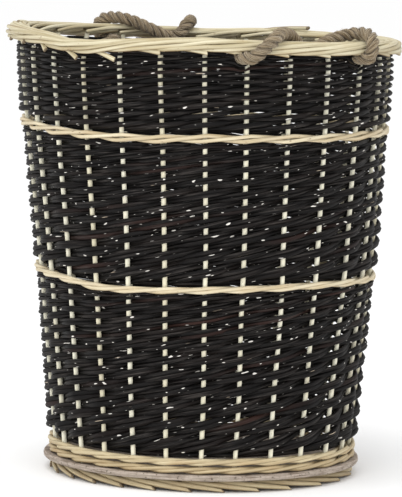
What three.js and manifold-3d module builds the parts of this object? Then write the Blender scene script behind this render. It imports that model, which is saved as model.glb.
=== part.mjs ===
// A tall round log basket woven from willow, with two rope handles.
// Units are millimetres. Z is up, and the origin is on the floor, on the basket's axis.
import * as THREE from "three";
import { mergeVertices } from "three/addons/utils/BufferGeometryUtils.js";
import Module from "manifold-3d";

const wasm = await Module();
wasm.setup();

// ---------------------------------------------------------------------------
// Driving dimensions
// ---------------------------------------------------------------------------

const GAP = 0.3; // left between pieces that touch on the real basket
const STAKE_COUNT = 26;
const STAKE_RADIUS = 3.1;
const STAKE_SIDES = 6;
const STAKE_STEPS = 5; // the bend at the upper band falls on the fourth

// Heights of the layers, from the floor up
const BOARD_BOTTOM = 14;
const BOARD_TOP = 20;
const BASE_WALE_TOP = 38;
const LOWER_BAND_BOTTOM = 219;
const LOWER_BAND_TOP = 228;
const UPPER_BAND_BOTTOM = 386;
const UPPER_BAND_TOP = 397;
const BORDER_BOTTOM = 485;
const BORDER_TOP = 500;

// Every stake rises from the board to the upper band, and a little more steeply from there to the rim.
// Each entry is the height and the distance from the basket's axis to the middle of the stake.
const STAKE_LINE = [
  { height: BOARD_BOTTOM, radius: 164 },
  { height: 390.6, radius: 200.1 },
  { height: BORDER_BOTTOM, radius: 206 },
];

const BOARD_RADIUS = 178;
const FOOT_INNER_RADIUS = 150;
const FOOT_OUTER_RADIUS = 174;
const BORDER_MIDDLE_RADIUS = 210;
const BORDER_WIDTH = 26;
const BORDER_CORNER = 6.5;

// Rod diameters. Each rod of a weave starts thick, at its butt, and ends thin, at its tip.
const WALE_ROD = 5;
const LOWER_WEAVE_RODS = { butt: 5.7, tip: 2.9 };
const MIDDLE_WEAVE_RODS = { butt: 5.4, tip: 3 };
const UPPER_WEAVE_RODS = { butt: 6.2, tip: 3.1 };

// The wall is thinner halfway between stakes than at them, by this share of its thickness
const WALL_KEPT_BETWEEN_STAKES = 0.6;
// A band is thinner at its upper and lower edge than at its middle, by this share
const BAND_KEPT_AT_EDGE = 0.75;

// Flat faces round a layer
const LAYER_SEGMENTS = STAKE_COUNT * 2;
const BASE_SEGMENTS = STAKE_COUNT * 3;

const ROPE_RADIUS = 7;
const ROPE_SIDES = 8;
const ROPE_STEP = 6.5;

// The holes that the ropes pass through, partly under the border and partly up into it
const ROPE_HOLE_RADIUS = 9.5;
const ROPE_HOLE_HEIGHT = 481.5;
const ROPE_HOLE_DEPTH = 60; // well past both sides of the wall
const ROPE_HOLE_SIDES = 20;

// The handles' routes. A point is the angle in degrees from the front towards +X, the distance from the
// basket's axis, and the height. Each rope starts with a tail inside, goes out through the wall, turns up
// and over the border, hangs inside as the grip, and goes back the same way. holes are the angles at
// which it goes through the wall.
const FRONT_HANDLE = {
  holes: [10.7, 52.2],
  firstEnd: [
    [-4, 190.5, 471],
    [0.6, 189.5, 473],
    [5.4, 187, 477],
    [9.2, 190.4, 480.8],
    [10.7, 198.5, 481.5],
    [10.7, 206, 481.5],
    [10.7, 213.5, 481.5],
    [11.2, 222, 480.9],
    [13, 229.2, 482],
    [15, 232.2, 488],
    [17, 231.6, 495.2],
    [19.2, 228, 502],
    [21.4, 219.5, 507.2],
    [23.8, 209.5, 508],
    [26.2, 201.5, 507.4],
    [28.4, 195.6, 505.2],
  ],
  grip: [
    [28.4, 195.6, 505.2],
    [30.6, 191.4, 501],
    [32.5, 189.2, 495],
    [34.3, 188.2, 490.3],
    [36.8, 187.8, 488.4],
    [39.6, 187.8, 491],
    [42.8, 188.3, 496],
    [47, 189.6, 501],
    [51, 192.6, 504.4],
    [54, 196.2, 506.2],
  ],
  secondEnd: [
    [54, 196.2, 506.2],
    [55.6, 201.5, 507.8],
    [56, 208.5, 508.3],
    [55.4, 216.5, 507.7],
    [54.3, 224.4, 504.6],
    [53.2, 230.3, 499.4],
    [52.5, 232.2, 493.4],
    [52.2, 231, 487.6],
    [52.1, 226.6, 483.2],
    [52.1, 220.5, 481.3],
    [52.2, 213.5, 481.4],
    [52.2, 206, 481.5],
    [52.2, 198.5, 481.2],
    [53.6, 190.4, 479.4],
    [57.2, 187, 475.8],
    [62, 189.5, 472.4],
    [67, 190.5, 470.6],
  ],
};
const REAR_HANDLE = {
  holes: [187.2, 212.6],
  firstEnd: [
    [227, 190.5, 471],
    [222, 189.5, 473],
    [217.4, 187, 477],
    [213.9, 190.4, 480.8],
    [212.6, 198.5, 481.5],
    [212.6, 206, 481.5],
    [212.6, 213.8, 481.4],
    [212.7, 220.5, 481.4],
    [212.8, 226.6, 483.4],
    [213, 231, 488.4],
    [213.2, 232.2, 494.4],
    [213.1, 230, 500.3],
    [212.5, 224.7, 505],
    [211.5, 217, 507.6],
    [210.2, 209, 508],
    [208.8, 202.2, 507.6],
    [207.4, 196.6, 506],
  ],
  grip: [
    [207.4, 196.6, 506],
    [205.4, 193.6, 503.9],
    [203.2, 191.2, 501],
    [200.8, 189.4, 497.7],
    [198.2, 188.3, 494.4],
    [195.6, 187.8, 491.4],
    [193.2, 187.8, 489.5],
    [191, 187.9, 489.4],
    [189.2, 188.6, 492.4],
    [188, 190, 497.6],
    [186.9, 192.6, 502.4],
    [186, 196.2, 505.6],
  ],
  secondEnd: [
    [186, 196.2, 505.6],
    [185.3, 201, 507.6],
    [184.9, 207.5, 508.2],
    [184.8, 215.5, 507.8],
    [185, 223.8, 505.2],
    [185.5, 229.8, 499.4],
    [186, 232.2, 493.4],
    [186.5, 231, 487.6],
    [186.9, 226.6, 483.2],
    [187.1, 220.5, 481.3],
    [187.2, 213.5, 481.4],
    [187.2, 206, 481.5],
    [187.2, 198.5, 481.2],
    [185.8, 190.4, 479.4],
    [182.3, 187, 475.8],
    [177.5, 189.5, 472.4],
    [172.5, 190.5, 470.6],
  ],
};

// ---------------------------------------------------------------------------
// Materials
// ---------------------------------------------------------------------------

function willow(colour) {
  return new THREE.MeshStandardMaterial({ color: colour, roughness: 0.6, metalness: 0 });
}

const PEELED_WILLOW = willow(0xd9c08c);
const DARK_WILLOW = willow(0x2b211d);
const PLYWOOD = new THREE.MeshStandardMaterial({ color: 0xa99c8c, roughness: 0.85, metalness: 0 });
const JUTE = new THREE.MeshStandardMaterial({ color: 0x927c64, roughness: 0.95, metalness: 0 });

// ---------------------------------------------------------------------------
// Solids
// ---------------------------------------------------------------------------

function toSolid(geometry) {
  const bare = geometry.clone();
  bare.deleteAttribute("normal");
  bare.deleteAttribute("uv");
  const merged = mergeVertices(bare);
  return new wasm.Manifold(
    new wasm.Mesh({
      numProp: 3,
      vertProperties: new Float32Array(merged.attributes.position.array),
      triVerts: new Uint32Array(merged.index.array),
    }),
  );
}

function toGeometry(solid) {
  const { vertProperties, triVerts } = solid.getMesh();
  const geometry = new THREE.BufferGeometry();
  geometry.setAttribute("position", new THREE.BufferAttribute(vertProperties, 3));
  geometry.setIndex(new THREE.BufferAttribute(triVerts, 1));
  geometry.computeVertexNormals();
  return geometry;
}

function subtractAll(geometry, cutters) {
  let solid = toSolid(geometry);
  for (const cutter of cutters) {
    solid = solid.subtract(toSolid(cutter));
  }
  return toGeometry(solid);
}

function mesh(name, geometry, material) {
  const piece = new THREE.Mesh(geometry, material);
  piece.name = name;
  return piece;
}

// A point from its angle from the front towards +X, its distance from the axis and its height
function aroundAxis(degrees, radius, height) {
  const angle = THREE.MathUtils.degToRad(degrees);
  return new THREE.Vector3(radius * Math.sin(angle), -radius * Math.cos(angle), height);
}

function regularPolygon(radius, sides) {
  const corners = [];
  for (let i = 0; i < sides; i += 1) {
    const angle = (i * 2 * Math.PI) / sides;
    corners.push(new THREE.Vector2(radius * Math.cos(angle), radius * Math.sin(angle)));
  }
  return new THREE.Shape(corners);
}

// A ring about the basket's axis, from the outline of its section as [radius, height] pairs
function ring(outline, segments) {
  const closed = [...outline, outline[0]].map(([radius, height]) => new THREE.Vector2(radius, height));
  return new THREE.LatheGeometry(closed, segments).rotateX(Math.PI / 2);
}

// ---------------------------------------------------------------------------
// Stakes, and the channels that they run in
// ---------------------------------------------------------------------------

function stakeRadiusAt(height) {
  const [foot, band, rim] = STAKE_LINE;
  const [low, high] = height < band.height ? [foot, band] : [band, rim];
  return THREE.MathUtils.mapLinear(height, low.height, high.height, low.radius, high.radius);
}

class StakePath extends THREE.Curve {
  constructor(degrees, bottom, top) {
    super();
    this.degrees = degrees;
    this.bottom = bottom;
    this.top = top;
  }

  getPoint(share) {
    const height = THREE.MathUtils.lerp(this.bottom, this.top, share);
    return aroundAxis(this.degrees, stakeRadiusAt(height), height);
  }
}

function stakeGeometry(degrees, radius, bottom, top, steps) {
  const extrudePath = new StakePath(degrees, bottom, top);
  return new THREE.ExtrudeGeometry(regularPolygon(radius, STAKE_SIDES), { extrudePath, steps });
}

function stakeAngle(index) {
  return (index * 360) / STAKE_COUNT;
}

function stakes() {
  const group = new THREE.Group();
  for (let i = 0; i < STAKE_COUNT; i += 1) {
    const name = `stake_${String(i + 1).padStart(2, "0")}`;
    const top = BORDER_BOTTOM - GAP;
    const geometry = stakeGeometry(stakeAngle(i), STAKE_RADIUS, BOARD_BOTTOM, top, STAKE_STEPS);
    group.add(mesh(name, geometry, PEELED_WILLOW));
  }
  return group;
}

// One straight channel for each stake, a little past both ends of a layer
function stakeChannels(bottom, top) {
  const margin = 3;
  const channels = [];
  for (let i = 0; i < STAKE_COUNT; i += 1) {
    channels.push(stakeGeometry(stakeAngle(i), STAKE_RADIUS + GAP, bottom - margin, top + margin, 1));
  }
  return channels;
}

// ---------------------------------------------------------------------------
// Base: board and foot border
// ---------------------------------------------------------------------------

function baseBoard() {
  const thickness = BOARD_TOP - BOARD_BOTTOM;
  const disc = new THREE.CylinderGeometry(BOARD_RADIUS, BOARD_RADIUS, thickness, BASE_SEGMENTS);
  disc.rotateX(Math.PI / 2);
  disc.translate(0, 0, (BOARD_TOP + BOARD_BOTTOM) / 2);
  return mesh("base_board", subtractAll(disc, stakeChannels(BOARD_BOTTOM, BOARD_TOP)), PLYWOOD);
}

// The stakes' lower ends, bent round under the board
function footBorder() {
  const top = BOARD_BOTTOM - GAP;
  const corner = 4;
  const outline = [
    [FOOT_INNER_RADIUS + corner, 0],
    [FOOT_OUTER_RADIUS - corner, 0],
    [FOOT_OUTER_RADIUS, corner],
    [FOOT_OUTER_RADIUS - corner / 2, top],
    [FOOT_INNER_RADIUS + corner / 2, top],
    [FOOT_INNER_RADIUS, corner],
  ];
  return mesh("foot_border", ring(outline, BASE_SEGMENTS), PEELED_WILLOW);
}

// ---------------------------------------------------------------------------
// Woven layers: rods passing in front of and behind the stakes
// ---------------------------------------------------------------------------

// Draws the wall in halfway between stakes, where the rods cross from one side of it to the other
function pinchBetweenStakes(geometry) {
  const position = geometry.attributes.position;
  const point = new THREE.Vector3();
  for (let i = 0; i < position.count; i += 1) {
    point.fromBufferAttribute(position, i);
    const radius = Math.hypot(point.x, point.y);
    const middle = stakeRadiusAt(point.z);
    const stakePhase = Math.cos(Math.atan2(point.x, -point.y) * STAKE_COUNT);
    const kept = THREE.MathUtils.mapLinear(stakePhase, -1, 1, WALL_KEPT_BETWEEN_STAKES, 1);
    const scale = (middle + (radius - middle) * kept) / radius;
    position.setXYZ(i, point.x * scale, point.y * scale, point.z);
  }
  return geometry;
}

function weave(name, bottom, top, rods, material, holes = []) {
  const halfAtBottom = STAKE_RADIUS + rods.butt;
  const halfAtTop = STAKE_RADIUS + rods.tip;
  const outline = [
    [stakeRadiusAt(bottom) - halfAtBottom, bottom],
    [stakeRadiusAt(bottom) + halfAtBottom, bottom],
    [stakeRadiusAt(top) + halfAtTop, top],
    [stakeRadiusAt(top) - halfAtTop, top],
  ];
  const wall = pinchBetweenStakes(ring(outline, LAYER_SEGMENTS));
  return mesh(name, subtractAll(wall, [...stakeChannels(bottom, top), ...holes]), material);
}

// A narrow row of waling, rounder than the weave above and below it
function band(name, bottom, top) {
  const middle = (bottom + top) / 2;
  const half = STAKE_RADIUS + WALE_ROD;
  const edge = half * BAND_KEPT_AT_EDGE;
  const outline = [
    [stakeRadiusAt(bottom) - edge, bottom],
    [stakeRadiusAt(bottom) + edge, bottom],
    [stakeRadiusAt(middle) + half, middle],
    [stakeRadiusAt(top) + edge, top],
    [stakeRadiusAt(top) - edge, top],
    [stakeRadiusAt(middle) - half, middle],
  ];
  const row = subtractAll(ring(outline, LAYER_SEGMENTS), stakeChannels(bottom, top));
  return mesh(name, row, PEELED_WILLOW);
}

// A round hole through the wall, square to it
function ropeHole(degrees) {
  const radius = ROPE_HOLE_RADIUS;
  const hole = new THREE.CylinderGeometry(radius, radius, ROPE_HOLE_DEPTH, ROPE_HOLE_SIDES);
  hole.translate(0, -stakeRadiusAt(ROPE_HOLE_HEIGHT), ROPE_HOLE_HEIGHT);
  hole.rotateZ(THREE.MathUtils.degToRad(degrees));
  return hole;
}

function rimBorder(holes) {
  const middle = (BORDER_BOTTOM + BORDER_TOP) / 2;
  const halfWidth = BORDER_WIDTH / 2 - BORDER_CORNER;
  const halfHeight = (BORDER_TOP - BORDER_BOTTOM) / 2 - BORDER_CORNER;
  // Each corner: outwards or inwards, up or down, and the angle that its rounding starts at
  const corners = [[1, -1, -90], [1, 1, 0], [-1, 1, 90], [-1, -1, 180]];
  const outline = [];
  for (const [across, up, start] of corners) {
    for (const turn of [0, 45, 90]) {
      const angle = THREE.MathUtils.degToRad(start + turn);
      outline.push([
        BORDER_MIDDLE_RADIUS + across * halfWidth + BORDER_CORNER * Math.cos(angle),
        middle + up * halfHeight + BORDER_CORNER * Math.sin(angle),
      ]);
    }
  }
  return mesh("rim_border", subtractAll(ring(outline, LAYER_SEGMENTS), holes), PEELED_WILLOW);
}

// ---------------------------------------------------------------------------
// Rope handles
// ---------------------------------------------------------------------------

// The stretch of a longer curve from one of its points to another
class Stretch extends THREE.Curve {
  constructor(whole, from, to) {
    super();
    this.whole = whole;
    this.from = from;
    this.to = to;
  }

  getPoint(share) {
    const along = THREE.MathUtils.lerp(this.from, this.to, share);
    return this.whole.getPoint(along / (this.whole.points.length - 1));
  }
}

function ropeGeometry(whole, from, to) {
  const extrudePath = new Stretch(whole, from, to);
  const steps = Math.round(extrudePath.getLength() / ROPE_STEP);
  return new THREE.ExtrudeGeometry(regularPolygon(ROPE_RADIUS, ROPE_SIDES), { extrudePath, steps });
}

// A box on one side of the plane through a pivot, square to the hinge's axis
function pivotBlock(pivot, direction) {
  const size = 30;
  const block = new THREE.BoxGeometry(size, size, size);
  block.translate(0, 0, (size - GAP) / 2);
  block.applyQuaternion(new THREE.Quaternion().setFromUnitVectors(new THREE.Vector3(0, 0, 1), direction));
  block.translate(pivot.x, pivot.y, pivot.z);
  return block;
}

// The grip turns about the line between its two pivots, so its ends are cut square to that line.
function ropeHandle(side, route) {
  const points = [...route.firstEnd, ...route.grip.slice(1), ...route.secondEnd.slice(1)];
  const whole = new THREE.CatmullRomCurve3(points.map((point) => aroundAxis(...point)));
  const first = route.firstEnd.length - 1;
  const second = first + route.grip.length - 1;
  const last = points.length - 1;
  const overrun = 0.6; // of the way to the next point, so that each cut goes right through the rope
  const inward = whole.points[second].clone().sub(whole.points[first]).normalize();
  const outward = inward.clone().negate();
  const cuts = {
    beforeGrip: pivotBlock(whole.points[first], outward),
    afterGrip: pivotBlock(whole.points[second], inward),
    firstInGrip: pivotBlock(whole.points[first], inward),
    secondInGrip: pivotBlock(whole.points[second], outward),
  };
  const grip = ropeGeometry(whole, first - overrun, second + overrun);
  const firstEnd = ropeGeometry(whole, 0, first + overrun);
  const secondEnd = ropeGeometry(whole, second - overrun, last);
  const group = new THREE.Group();
  group.add(
    mesh(`${side}_handle_grip`, subtractAll(grip, [cuts.beforeGrip, cuts.afterGrip]), JUTE),
    mesh(`${side}_handle_left_end`, subtractAll(firstEnd, [cuts.firstInGrip]), JUTE),
    mesh(`${side}_handle_right_end`, subtractAll(secondEnd, [cuts.secondInGrip]), JUTE),
  );
  return group;
}

// ---------------------------------------------------------------------------
// The basket
// ---------------------------------------------------------------------------

const waleRods = { butt: WALE_ROD, tip: WALE_ROD };
const ropeHoles = [...FRONT_HANDLE.holes, ...REAR_HANDLE.holes].map(ropeHole);

const basket = new THREE.Group();
basket.add(
  footBorder(),
  baseBoard(),
  stakes(),
  weave("base_wale", BOARD_TOP + GAP, BASE_WALE_TOP, waleRods, PEELED_WILLOW),
  weave("lower_weave", BASE_WALE_TOP + GAP, LOWER_BAND_BOTTOM - GAP, LOWER_WEAVE_RODS, DARK_WILLOW),
  band("lower_band", LOWER_BAND_BOTTOM, LOWER_BAND_TOP),
  weave("middle_weave", LOWER_BAND_TOP + GAP, UPPER_BAND_BOTTOM - GAP, MIDDLE_WEAVE_RODS, DARK_WILLOW),
  band("upper_band", UPPER_BAND_BOTTOM, UPPER_BAND_TOP),
  weave(
    "upper_weave",
    UPPER_BAND_TOP + GAP,
    BORDER_BOTTOM - GAP,
    UPPER_WEAVE_RODS,
    DARK_WILLOW,
    ropeHoles,
  ),
  rimBorder(ropeHoles),
  ropeHandle("front", FRONT_HANDLE),
  ropeHandle("rear", REAR_HANDLE),
);

export default basket;
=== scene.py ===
import math

import bpy
import numpy as np
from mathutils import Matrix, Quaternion, Vector


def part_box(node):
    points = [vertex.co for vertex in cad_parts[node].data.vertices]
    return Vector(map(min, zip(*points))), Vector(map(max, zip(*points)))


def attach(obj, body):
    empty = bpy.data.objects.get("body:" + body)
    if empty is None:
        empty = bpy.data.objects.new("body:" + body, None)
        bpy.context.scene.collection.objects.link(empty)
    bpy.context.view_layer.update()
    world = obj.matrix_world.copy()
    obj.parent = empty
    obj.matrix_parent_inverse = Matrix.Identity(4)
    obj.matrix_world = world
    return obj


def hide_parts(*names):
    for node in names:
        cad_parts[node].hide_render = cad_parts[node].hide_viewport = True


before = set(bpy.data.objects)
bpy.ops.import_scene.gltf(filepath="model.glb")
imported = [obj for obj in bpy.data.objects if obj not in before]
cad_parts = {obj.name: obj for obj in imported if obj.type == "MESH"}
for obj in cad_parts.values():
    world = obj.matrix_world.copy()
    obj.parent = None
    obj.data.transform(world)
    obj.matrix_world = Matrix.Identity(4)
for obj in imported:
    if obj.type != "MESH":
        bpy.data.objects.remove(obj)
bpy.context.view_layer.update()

# A tall round log basket, woven from dark willow over pale stakes. Units are metres. Angles round the
# basket are in degrees from its front, which faces -Y, towards +X. A place along the weave is counted in
# spaces, from one stake to the next.

MM = 0.001
TINY = 1e-9  # added to a length that can be zero before it divides another
RANDOM = np.random.default_rng(26)

# ------------------------------------------------------------
# Driving dimensions
# ------------------------------------------------------------

STAKE_COUNT = 26
SPACE = 360 / STAKE_COUNT  # degrees from one stake to the next
STAKE_RADIUS = 3.1 * MM
STAKE_THICKNESS = 5.25 * MM  # of the rods seen, which look thinner than the CAD stakes
STAKE_NAMES = [f"stake_{number + 1:02d}" for number in range(STAKE_COUNT)]

# Heights and radii from the frame, with two that it doesn't give: the border's width, and how far from
# the axis the stakes bend
FOOT_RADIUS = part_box("foot_border")[1].x
BOARD_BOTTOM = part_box("base_board")[0].z
BOARD_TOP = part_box("base_board")[1].z
BOARD_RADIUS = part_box("base_board")[1].x
BORDER_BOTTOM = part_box("rim_border")[0].z
BORDER_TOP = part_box("rim_border")[1].z
BORDER_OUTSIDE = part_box("rim_border")[1].x
BORDER_WIDTH = 26 * MM
BORDER_MIDDLE = BORDER_OUTSIDE - BORDER_WIDTH / 2
BORDER_LEVEL = (BORDER_BOTTOM + BORDER_TOP) / 2

STAKE_FOOT_RADIUS = -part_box("stake_01")[1].y + STAKE_RADIUS
STAKE_TOP_RADIUS = -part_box("stake_01")[0].y - STAKE_RADIUS
STAKE_BEND_HEIGHT = (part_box("upper_band")[0].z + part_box("upper_band")[1].z) / 2
STAKE_BEND_RADIUS = 200.1 * MM

# Rod diameters. A rod starts thick, at its butt, and ends thin, at its tip. "in_stroke" is how many rods
# run together as one, and "levels" is how many stakes they pass, a level higher at each.
LOWER_RODS = {"butt": 6.3 * MM, "tip": 3.3 * MM, "in_stroke": 2, "levels": 22}
MIDDLE_RODS = {"butt": 5.8 * MM, "tip": 3.2 * MM, "in_stroke": 2, "levels": 20}
UPPER_RODS = {"butt": 6.2 * MM, "tip": 3.1 * MM, "in_stroke": 1, "levels": 20}
STRAIGHTNESS = 0.5  # of the dark rods between stakes: 0 would be a smooth wave, and 1 straight lines
WALE_ROD = 4.5 * MM
BORDER_ROD = 5.0 * MM
FOOT_ROD = 6.4 * MM
STEPS_PER_SPACE = 8  # rings on a woven rod from one stake to the next

# How much the rods of each kind differ in thickness from one to the next, as a share of it
WEAVE_SPREAD = 0.06
WALE_SPREAD = 0.04
BORDER_SPREAD = 0.06
FOOT_SPREAD = 0.05
START_SPREAD = 0.05  # spaces, by which the starts of border rods and foot rods differ

ROPE_DIAMETER = 14 * MM
ROPE_LAY = 31 * MM  # the length in which a strand goes once round the rope

# How the handmade basket differs from its plan. RISES has, for each height, how far in millimetres the
# basket there stands above its level at each of RISE_ANGLES. Each entry of SWELLS is a height and how far
# the wall stands out there. Each entry of DRIFTS is a stake's number, counted from the front, and how far
# it stands off its even place towards +X, in degrees.
RISE_ANGLES = [-135, -90, -74, -55, -45, -35, -20, 0, 20, 40, 60, 90, 135, 157, 180]
RISES = {
    0.02: [0, 0.3, 0.3, 0.3, 0.2, 0.1, 0, 0, 0, -0.1, -0.2, -0.3, 0, 0, 0],
    0.223: [6, 8.4, 7.8, 5.4, 2.2, -0.4, 1.0, 2.8, 5.2, 6.4, 5.4, 4.6, 3, 3, 3],
    0.391: [4.1, 6.3, 5.3, 2.7, 1.6, 0.5, -0.1, 2.1, 1.9, 1.8, 2.5, 3.3, 2.6, 2.1, 3.1],
    0.487: [2.1, 7.9, 5.2, 1.4, -3.4, -3.5, 0.6, 3, 0.4, -1.2, -1, -4.4, -4, -2, -4.2],
}
SWELLS = [
    (0.02, 2.0 * MM),
    (0.06, 2.0 * MM),
    (0.24, 3.2 * MM),
    (0.39, 2.2 * MM),
    (0.475, 3.8 * MM),
    (0.487, 0.0),
]
DRIFTS = [
    (-13, 0),
    (-7, 1.5),
    (-5, 2.7),
    (-3, 2.0),
    (-2, 1.1),
    (0, 0),
    (1, -0.9),
    (3, -0.9),
    (4, 0),
    (5, 0.8),
    (9, 0),
]
LEAN_START = 0.2  # the height where the basket starts to lean
LEAN_END = 0.5  # and where it has moved all the way
LEAN = -5.2 * MM  # to the left

# The holes that the ropes pass through
ROPE_HOLES = [10.7, 52.2, 187.2, 212.6]  # degrees from the front
ROPE_HOLE_HEIGHT = 481.5 * MM
ROPE_HOLE_RADIUS = 7.6 * MM
PARTED_HEIGHT = 20 * MM  # rods up to this far above and below a hole give way to the rope

# ------------------------------------------------------------
# Camera
# ------------------------------------------------------------

CAMERA_DISTANCE = 4.3
CAMERA_HEIGHT = 0.681
CAMERA_SIDE = -0.0051
CAMERA_AIM_HEIGHT = 0.2535
CAMERA_LENS = 274.4  # millimetres
CAMERA_ROLL = 1.15  # degrees


def camera():
    """A long lens, far off and a little above the basket."""
    data = bpy.data.cameras.new("camera")
    data.lens = CAMERA_LENS
    data.clip_end = 100
    made = bpy.data.objects.new("camera", data)
    made.location = (CAMERA_SIDE, -CAMERA_DISTANCE, CAMERA_HEIGHT)
    aim = Vector((CAMERA_SIDE, 0, CAMERA_AIM_HEIGHT)) - made.location
    roll = Quaternion((0, 0, 1), math.radians(CAMERA_ROLL))
    made.rotation_mode = "QUATERNION"
    made.rotation_quaternion = aim.to_track_quat("-Z", "Y") @ roll
    bpy.context.scene.collection.objects.link(made)
    bpy.context.scene.camera = made


# ------------------------------------------------------------
# Points and lines
# ------------------------------------------------------------


def around(degrees, radius, height):
    """Points from their angle from the front, distance from the basket's axis and height."""
    angle = np.radians(degrees)
    radius, height = np.broadcast_to(radius, angle.shape), np.broadcast_to(height, angle.shape)
    return np.stack([radius * np.sin(angle), -radius * np.cos(angle), height], axis=-1)


def read_off(entries, place):
    """The value at a place, read off a list of places and their values."""
    return np.interp(place, *np.transpose(entries))


def angle_at(place):
    """The angle from the front of a place counted in spaces from the front stake."""
    place = np.asarray(place, float)
    near = (place + STAKE_COUNT / 2) % STAKE_COUNT - STAKE_COUNT / 2
    return place * SPACE + read_off(DRIFTS, near)


def smooth(share):
    """A share from 0 to 1 that starts and ends slowly."""
    share = np.clip(share, 0, 1)
    return share * share * (3 - 2 * share)


def rise_at(points):
    """How far the basket's layers stand above their level at these points."""
    degrees = np.degrees(np.arctan2(points[:, 0], -points[:, 1]))
    rises = np.array([np.interp(degrees, RISE_ANGLES, values, period=360) for values in RISES.values()])
    level = np.interp(points[:, 2], list(RISES), np.arange(len(RISES)))
    below = np.minimum(level.astype(int), len(RISES) - 2)
    share = level - below
    every = np.arange(len(points))
    return (rises[below, every] * (1 - share) + rises[below + 1, every] * share) * MM


def settle(points):
    """Moves points off the even plan: layers rise and sink a little, the wall swells, the rim leans."""
    moved = points.copy()
    height = points[:, 2]
    moved[:, 2] += rise_at(points)
    radius = np.maximum(np.hypot(points[:, 0], points[:, 1]), 1 * MM)
    moved[:, :2] *= (1 + read_off(SWELLS, height) / radius)[:, None]
    moved[:, 0] += LEAN * smooth((height - LEAN_START) / (LEAN_END - LEAN_START))
    return moved


def part_round_ropes(points):
    """Moves the points of rods up or down out of the way of each rope that goes through the wall."""
    moved = points.copy()
    radius = np.hypot(points[:, 0], points[:, 1])
    degrees = np.degrees(np.arctan2(points[:, 0], -points[:, 1]))
    above = points[:, 2] - ROPE_HOLE_HEIGHT
    for hole in ROPE_HOLES:
        beside = np.radians((degrees - hole + 180) % 360 - 180) * radius
        half = np.sqrt(np.clip(ROPE_HOLE_RADIUS**2 - beside**2, 0, None))
        parted = np.sign(above) * (half + np.abs(above) * (1 - half / PARTED_HEIGHT))
        near = (half > 0) & (np.abs(above) < PARTED_HEIGHT) & (points[:, 2] < BORDER_BOTTOM)
        moved[near, 2] = np.minimum(ROPE_HOLE_HEIGHT + parted[near], BORDER_BOTTOM)
    return moved


def settle_rods(points):
    """Where the points of a rod or a stake lie in the finished basket."""
    return settle(part_round_ropes(points))


def stake_radius_at(height):
    """Distance from the basket's axis to the middle of a stake."""
    heights = [BOARD_BOTTOM, STAKE_BEND_HEIGHT, BORDER_BOTTOM]
    return np.interp(height, heights, [STAKE_FOOT_RADIUS, STAKE_BEND_RADIUS, STAKE_TOP_RADIUS])


def lengths_along(line):
    """How far along the line each of its points is."""
    steps = np.linalg.norm(np.diff(line, axis=0), axis=1)
    return np.concatenate([[0], np.cumsum(steps)])


def wander(along, step, size):
    """Small smooth changes along a rod: a random value of at most this size at every step, joined
    smoothly. The step is in the unit of along."""
    place = along / step
    index = np.floor(place - place.min()).astype(int)
    values = RANDOM.uniform(-size, size, index.max() + 2)
    share = smooth(place - place.min() - index)
    return values[index] * (1 - share) + values[index + 1] * share


def centripetal(points, steps):
    """A centripetal Catmull-Rom curve through the points, with so many steps from each to the next."""
    before, after = 2 * points[0] - points[1], 2 * points[-1] - points[-2]
    p = np.vstack([before, points, after])
    line = []
    for p0, p1, p2, p3 in zip(p, p[1:], p[2:], p[3:], strict=False):
        d0, d1, d2 = (math.sqrt(np.linalg.norm(b - a)) for a, b in ((p0, p1), (p1, p2), (p2, p3)))
        start = ((p1 - p0) / d0 - (p2 - p0) / (d0 + d1) + (p2 - p1) / d1) * d1
        end = ((p2 - p1) / d1 - (p3 - p1) / (d1 + d2) + (p3 - p2) / d2) * d1
        for t in np.arange(steps) / steps:
            line.append(
                p1 * (2 * t**3 - 3 * t**2 + 1)
                + start * (t**3 - 2 * t**2 + t)
                + p2 * (3 * t**2 - 2 * t**3)
                + end * (t**3 - t**2)
            )
    return np.array([*line, points[-1]])


def round_turn(sides):
    """Angles at even distances once round a section."""
    return np.arange(sides) * 2 * math.pi / sides


def unit(vectors):
    """The same directions, each one long."""
    return vectors / np.linalg.norm(vectors, axis=-1, keepdims=True)


def radial_frames(line):
    """For a line that runs round or up the basket: at each point one direction away from the basket's
    axis and one across it, both square to the line."""
    tangents = unit(np.gradient(line, axis=0))
    out = unit(line * [1, 1, 0])
    out = unit(out - tangents * (out * tangents).sum(1, keepdims=True))
    return out, np.cross(tangents, out)


def carried_frames(line):
    """For any line: two directions square to it at each point, carried along it without turning."""
    tangents = unit(np.gradient(line, axis=0))
    first = np.array([0.0, 0.0, 1.0])
    out = [unit(first - tangents[0] * (first @ tangents[0]))]
    for tangent in tangents[1:]:
        out.append(unit(out[-1] - tangent * (out[-1] @ tangent)))
    out = np.array(out)
    return out, np.cross(tangents, out)


# ------------------------------------------------------------
# Bundles of rods
# ------------------------------------------------------------

CUT_DEPTH = 0.3 * MM  # how far the colour of a cut end goes up the rod


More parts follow.
